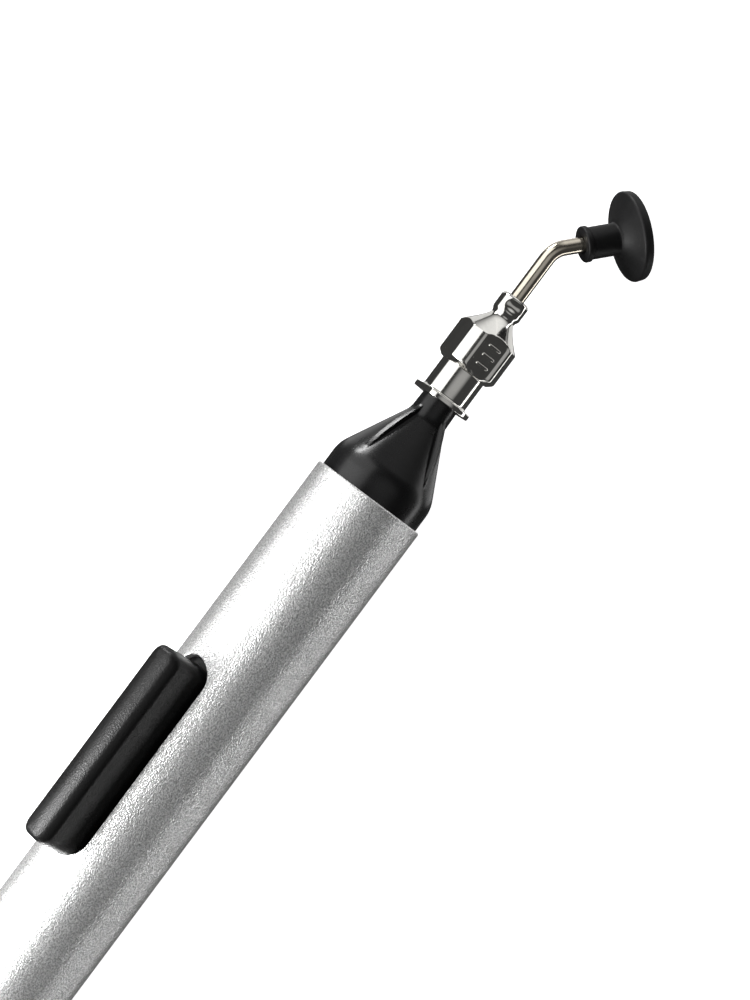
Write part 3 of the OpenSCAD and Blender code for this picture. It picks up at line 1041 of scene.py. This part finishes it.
def build_cup(sizes, reach, material):
    """The suction cup: stem with a collar, hollow-sided flare, soft lip, dished face."""
    corner = PEN_AXIS * (HUB_HIGH.x + reach)
    up = (BEND_UP - TIP_ALONG * BEND_UP.dot(TIP_ALONG)).normalized()
    skin = Skin(seat(TIP_ALONG, up, corner))
    grip_r = 0.85 * MM
    grip_end = 6.95 * MM
    start, stem_r, lip_r = sizes.start, sizes.stem_r, sizes.radius
    collar_r, collar_end = stem_r + sizes.collar, start + sizes.collar_len
    flare = start + sizes.stem_len
    lip_end = flare + 1.95 * MM
    face_end = lip_end - sizes.depth
    face_r = lip_r - 0.5 * MM
    grip_start = (start + 0.12 * MM, grip_r, 0)
    back = filleted([
        grip_start, (start, grip_r + 0.15 * MM, 0.05 * MM), (start, collar_r, 0.2 * MM),
        (collar_end, collar_r, 0.12 * MM), (collar_end + 0.14 * MM, stem_r, 0.1 * MM),
        (flare - 0.75 * MM, stem_r, 0)])
    sides = [(flare - 0.4 * MM * (1 - t) ** 3 + 0.95 * MM * t,
              stem_r + (lip_r - 0.15 * MM - stem_r) * t) for t in even(0, 1, 22)[1:]]
    root = filleted([(*back[-1], 0), (flare - 0.32 * MM, stem_r, 0.3 * MM), (*sides[1], 0)])
    rim = filleted([
        (*sides[-1], 0), (flare + 1.12 * MM, lip_r, 0.3 * MM),
        (lip_end, lip_r - 0.1 * MM, 0.12 * MM), (lip_end, face_r, 0.1 * MM),
        (lip_end - 0.2 * MM, lip_r - 0.85 * MM, 0)])
    face = [(lip_end - sizes.depth * (1 - (1 - t) ** 2), face_r - (lip_r - 1.3 * MM) * t)
            for t in even(0, 1, 14)[2:]]
    hole = filleted([(*face[-1], 0), (face_end, sizes.hole_r, 0.1 * MM),
                     (grip_end, sizes.hole_r, 0), (grip_end, grip_r, 0), grip_start])
    outline = back + root[1:] + sides[2:] + rim[1:-1] + face + hole[1:]
    skin.turned(outline, segments=160)
    return skin.piece("suction_cup_rubber", material, sharp=45)


def build_bulb(sizes, material):
    """The hollow bulb that the plate presses."""
    skin = Skin(seat(PEN_AXIS, BUTTON_UP, -BUTTON_UP * sizes.drop))
    start = BULB_LOW.x
    end = start + sizes.length
    r, wall, bore = sizes.radius, sizes.wall, sizes.neck_bore
    inside_soft = 1.6 * MM
    longest = 3 * MM
    rows = []
    for x, radius in filleted([
            (start, 0, 0), (start, r, sizes.round), (end, r, sizes.round), (end, bore, 0),
            (end - wall, bore, 0), (end - wall, r - wall, inside_soft),
            (start + wall, r - wall, inside_soft), (start + wall, 0, 0)]):
        if rows and x - rows[-1][0] > longest:
            rows += [(s, radius) for s in even(rows[-1][0], x, 14)[1:-1]]
        rows.append((x, radius))
    skin.turned(rows, segments=96)
    return skin.piece("bulb_body", material, sharp=45)


def build_bulb_neck(sizes, material):
    """The bulb's neck over the nose's nipple, with a soft bead at its end."""
    skin = Skin(seat(PEN_AXIS, BUTTON_UP))
    front = BULB_HIGH.x
    rear = front - sizes.neck_len
    outline = filleted([
        (rear, sizes.neck_bore, 0), (rear, sizes.neck_r, 0.05 * MM),
        (front, sizes.neck_r, 0.35 * MM), (front, sizes.neck_bore, 0.1 * MM)], ring=True)
    skin.turned(outline, segments=96, ring=True)
    return skin.piece("bulb_neck", material, sharp=45)


# ------------------------------------------------------------------- stage


def view_directions(studio):
    """Direction from the pen to the camera, and the direction across the pen seen from there."""
    view = Vector((0, sin(studio.tilt), cos(studio.tilt)))
    across = Vector((0, cos(studio.tilt), -sin(studio.tilt)))
    return view, across


def place_camera(studio, view, across):
    right = PEN_AXIS * cos(studio.roll) - across * sin(studio.roll)
    up = PEN_AXIS * sin(studio.roll) + across * cos(studio.roll)
    target = PEN_AXIS * (MOUTH_X + studio.ahead) + across * studio.aside
    data = bpy.data.cameras.new("Studio camera")
    data.lens = studio.lens
    data.sensor_width = 36.0
    data.clip_start = 0.01
    data.clip_end = 10.0
    camera = bpy.data.objects.new("Studio camera", data)
    camera.matrix_world = placed(right, up, view, target + view * studio.distance)
    bpy.context.scene.collection.objects.link(camera)
    bpy.context.scene.camera = camera


def floor_paper():
    """White paper that keeps only the softest trace of a shadow."""
    look = Finish("Floor paper")
    fibres = look.noise(look.place(), Scale=900.0, Detail=5.0)
    return look.done(
        Base_Color=look.blend(fibres, (0.93, 0.93, 0.93), (0.97, 0.97, 0.97)),
        Roughness=0.9,
        Emission_Color=(1, 1, 1, 1),
        Emission_Strength=0.9)


def lay_floor():
    """A sheet under the CAD model that only the camera sees."""
    level = CAD_BOX[0].z
    lines = even(-2.0, 2.0, 4)
    skin = Skin()
    skin.bands([[skin.point(x, y, level) for x in lines] for y in lines], closed=False)
    floor = skin.piece("floor_paper", floor_paper())
    floor.visible_glossy = False
    floor.visible_shadow = False
    floor.visible_diffuse = False


def soft_panel(name, middle, direction, distance, width, length, radiance):
    """A soft light panel that faces the pen from a direction, long side along the pen."""
    data = bpy.data.lights.new(name, "AREA")
    data.shape = "RECTANGLE"
    data.size = length
    data.size_y = width
    data.energy = radiance * pi * width * length
    lamp = bpy.data.objects.new(name, data)
    back = direction.normalized()
    along = (PEN_AXIS - back * PEN_AXIS.dot(back)).normalized()
    lamp.matrix_world = placed(along, back.cross(along), back, middle + back * distance)
    lamp.visible_camera = False
    bpy.context.scene.collection.objects.link(lamp)


def beside(view, across, degrees):
    """Direction square to the pen, turned by an angle from the view towards across."""
    return view * cos(radians(degrees)) + across * sin(radians(degrees))


# Long panels: their angle beside the view, their width as an angle, how far they reach
# back and forward along the pen as angles, and their radiance
LONG_PANELS = {
    "Key panel": (58, 62, 62, 38, 1.8),
    "Rear key panel": (64, 42, 66, 0, 1.5),
    "Rim strip": (-102, 10, 60, 60, 3.9),
}


def light_studio(view, across):
    """Panels of light around the pen, with their sizes in metres."""
    middle = PEN_AXIS * (MOUTH_X + HUB_LOW.x) / 2
    distance = 0.4
    for name, (degrees, spread, back_to, front_to, radiance) in LONG_PANELS.items():
        width = 2 * distance * tan(radians(spread) / 2)
        rear = -distance * tan(radians(back_to))
        front = distance * tan(radians(front_to))
        soft_panel(name, middle + PEN_AXIS * (rear + front) / 2, beside(view, across, degrees),
                   distance, width, front - rear, radiance)
    glint = PEN_AXIS * 0.59 + across * 0.81
    soft_panel("Glint panel", middle, glint, distance, 0.055, 0.13, 44.0)
    behind = PEN_AXIS * (MOUTH_X - 76 * MM)
    soft_panel("Near panel", behind, beside(view, across, 57), 0.07, 0.024, 0.05, 46.0)
    for side in (1, -1):
        below = PEN_AXIS * 0.5 + across * 0.5 * side - view * 0.7
        soft_panel("Low tip panel", middle, below, 0.45, 0.3, 0.3, 0.9)


def surround(studio, view, across):
    """A room that is white to the camera and dark to the pen, but for two soft glows."""
    world = bpy.data.worlds.new("Studio")
    world.use_nodes = True
    tree = Tree(world.node_tree)
    nodes = world.node_tree.nodes
    room = nodes["Background"]
    room.inputs["Color"].default_value = (1, 1, 1, 1)
    place = tree.add("ShaderNodeTexCoord")

    def glow(direction, wide, strength):
        """A part of the room that brightens smoothly towards a direction."""
        toward = tree.add("ShaderNodeVectorMath", operation="DOT_PRODUCT")
        tree.link(place.outputs["Generated"], toward.inputs[0])
        toward.inputs[1].default_value = direction
        part = tree.remap(toward.outputs["Value"], cos(radians(wide)), 1.0, 0.0, strength)
        part.node.interpolation_type = "SMOOTHSTEP"
        return part

    tip = glow(PEN_AXIS, 46, studio.tip_glow)
    fill = glow(beside(view, across, -15), 34, studio.fill_glow)
    both = tree.math("ADD", tip, fill)
    tree.link(tree.math("ADD", both, studio.ambient), room.inputs["Strength"])
    seen = tree.add("ShaderNodeBackground", Color=(1, 1, 1, 1), Strength=1.0)
    rays = tree.add("ShaderNodeLightPath")
    mix = tree.add("ShaderNodeMixShader")
    tree.link(rays.outputs["Is Camera Ray"], mix.inputs[0])
    tree.link(room.outputs[0], mix.inputs[1])
    tree.link(seen.outputs[0], mix.inputs[2])
    tree.link(mix.outputs[0], nodes["World Output"].inputs["Surface"])
    bpy.context.scene.world = world
    bpy.context.scene.view_settings.view_transform = "Standard"


# --------------------------------------------------------------- operators


class PEN_OT_stage(Operator):
    """Set up the camera, the floor and the studio lights"""

    bl_idname = "pickup_pen.stage"
    bl_label = "Stage"

    def execute(self, context):
        studio = context.scene.pickup_pen.studio
        view, across = view_directions(studio)
        place_camera(studio, view, across)
        lay_floor()
        light_studio(view, across)
        surround(studio, view, across)
        return {"FINISHED"}


class PEN_OT_tube(Operator):
    """Build the aluminium tube with its slot"""

    bl_idname = "pickup_pen.tube"
    bl_label = "Tube"

    def execute(self, context):
        pen = context.scene.pickup_pen
        obj = build_tube(pen.tube, blasted_aluminium(pen.colours))
        finish_piece(obj, "pen", "tube_aluminium", "barrel_tube")
        return {"FINISHED"}


class PEN_OT_nose(Operator):
    """Build the ribbed nose cone"""

    bl_idname = "pickup_pen.nose"
    bl_label = "Nose cone"

    def execute(self, context):
        pen = context.scene.pickup_pen
        obj = build_nose(pen.nose, gloss_black(pen.colours))
        finish_piece(obj, "pen", "nose_plastic", "nose_cone")
        return {"FINISHED"}


class PEN_OT_tail(Operator):
    """Build the tail plug"""

    bl_idname = "pickup_pen.tail"
    bl_label = "Tail plug"

    def execute(self, context):
        obj = build_plug(satin_black(context.scene.pickup_pen.colours))
        finish_piece(obj, "pen", "tail_plastic", "tail_plug")
        return {"FINISHED"}


class PEN_OT_button(Operator):
    """Build the push button and finish its plate"""

    bl_idname = "pickup_pen.button"
    bl_label = "Push button"

    def execute(self, context):
        pen = context.scene.pickup_pen
        obj = build_button(pen.button, satin_black(pen.colours))
        finish_piece(obj, "push_button", "button_plastic", "button")
        plate = drawn_steel("Rolled plate", pen.colours.zinc, (0.25, 0.38))
        dress_node("presser_plate", plate)
        return {"FINISHED"}


class PEN_OT_bulb(Operator):
    """Build the squeeze bulb and finish its ferrule"""

    bl_idname = "pickup_pen.bulb"
    bl_label = "Squeeze bulb"

    def execute(self, context):
        pen = context.scene.pickup_pen
        rubber = soft_rubber("Amber rubber", pen.colours.bulb_rubber, 0.42)
        body = build_bulb(pen.bulb, rubber)
        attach(body, "pen")
        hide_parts("squeeze_bulb")
        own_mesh(body)
        finish_piece(build_bulb_neck(pen.bulb, rubber), "pen", "bulb_rubber")
        dress_node("bulb_ferrule", bare_brass(pen.colours))
        return {"FINISHED"}


class PEN_OT_hub(Operator):
    """Build the needle hub and its size bars"""

    bl_idname = "pickup_pen.hub"
    bl_label = "Needle hub"

    def execute(self, context):
        pen = context.scene.pickup_pen
        nickel = plated_nickel(pen.colours)
        finish_piece(build_hub(pen.hub, nickel), "nozzle", "hub_nickel", "needle_hub")
        finish_piece(build_hub_marks(pen.hub, nickel), "nozzle", "hub_nickel")
        return {"FINISHED"}


class PEN_OT_needle(Operator):
    """Build the bent needle"""

    bl_idname = "pickup_pen.needle"
    bl_label = "Needle"

    def execute(self, context):
        pen = context.scene.pickup_pen
        steel = drawn_steel("Drawn steel", pen.colours.steel, (0.12, 0.22))
        obj = build_needle(pen.needle, steel)
        finish_piece(obj, "nozzle", "needle_steel", "needle_tube")
        return {"FINISHED"}


class PEN_OT_cup(Operator):
    """Build the rubber suction cup"""

    bl_idname = "pickup_pen.cup"
    bl_label = "Suction cup"

    def execute(self, context):
        pen = context.scene.pickup_pen
        rubber = soft_rubber("Black rubber", pen.colours.cup_rubber, 0.46)
        obj = build_cup(pen.cup, pen.needle.reach, rubber)
        finish_piece(obj, "cup", "cup_rubber", "suction_cup")
        return {"FINISHED"}


# ------------------------------------------------------------ registration


STEPS = (PEN_OT_stage, PEN_OT_tube, PEN_OT_nose, PEN_OT_tail, PEN_OT_button, PEN_OT_bulb,
         PEN_OT_hub, PEN_OT_needle, PEN_OT_cup)


class PEN_PT_panel(Panel):
    """Lists the steps that build the pen"""

    bl_idname = "PEN_PT_panel"
    bl_label = "Pick-up pen"
    bl_space_type = "VIEW_3D"
    bl_region_type = "UI"
    bl_category = "Pick-up pen"

    def draw(self, context):
        column = self.layout.column(align=True)
        for step in STEPS:
            column.operator(step.bl_idname)


GROUPS = (TubeSizes, ButtonSizes, NoseSizes, HubSizes, NeedleSizes, CupSizes, BulbSizes,
          Colours, Studio, PenSettings)
CLASSES = GROUPS + STEPS + (PEN_PT_panel,)


def register():
    for kind in CLASSES:
        bpy.utils.register_class(kind)
    bpy.types.Scene.pickup_pen = PointerProperty(type=PenSettings)


def unregister():
    del bpy.types.Scene.pickup_pen
    for kind in reversed(CLASSES):
        bpy.utils.unregister_class(kind)


def main():
    register()
    bpy.ops.pickup_pen.stage()
    bpy.ops.pickup_pen.tube()
    bpy.ops.pickup_pen.nose()
    bpy.ops.pickup_pen.tail()
    bpy.ops.pickup_pen.button()
    bpy.ops.pickup_pen.bulb()
    bpy.ops.pickup_pen.hub()
    bpy.ops.pickup_pen.needle()
    bpy.ops.pickup_pen.cup()


if __name__ == "__main__":
    main()
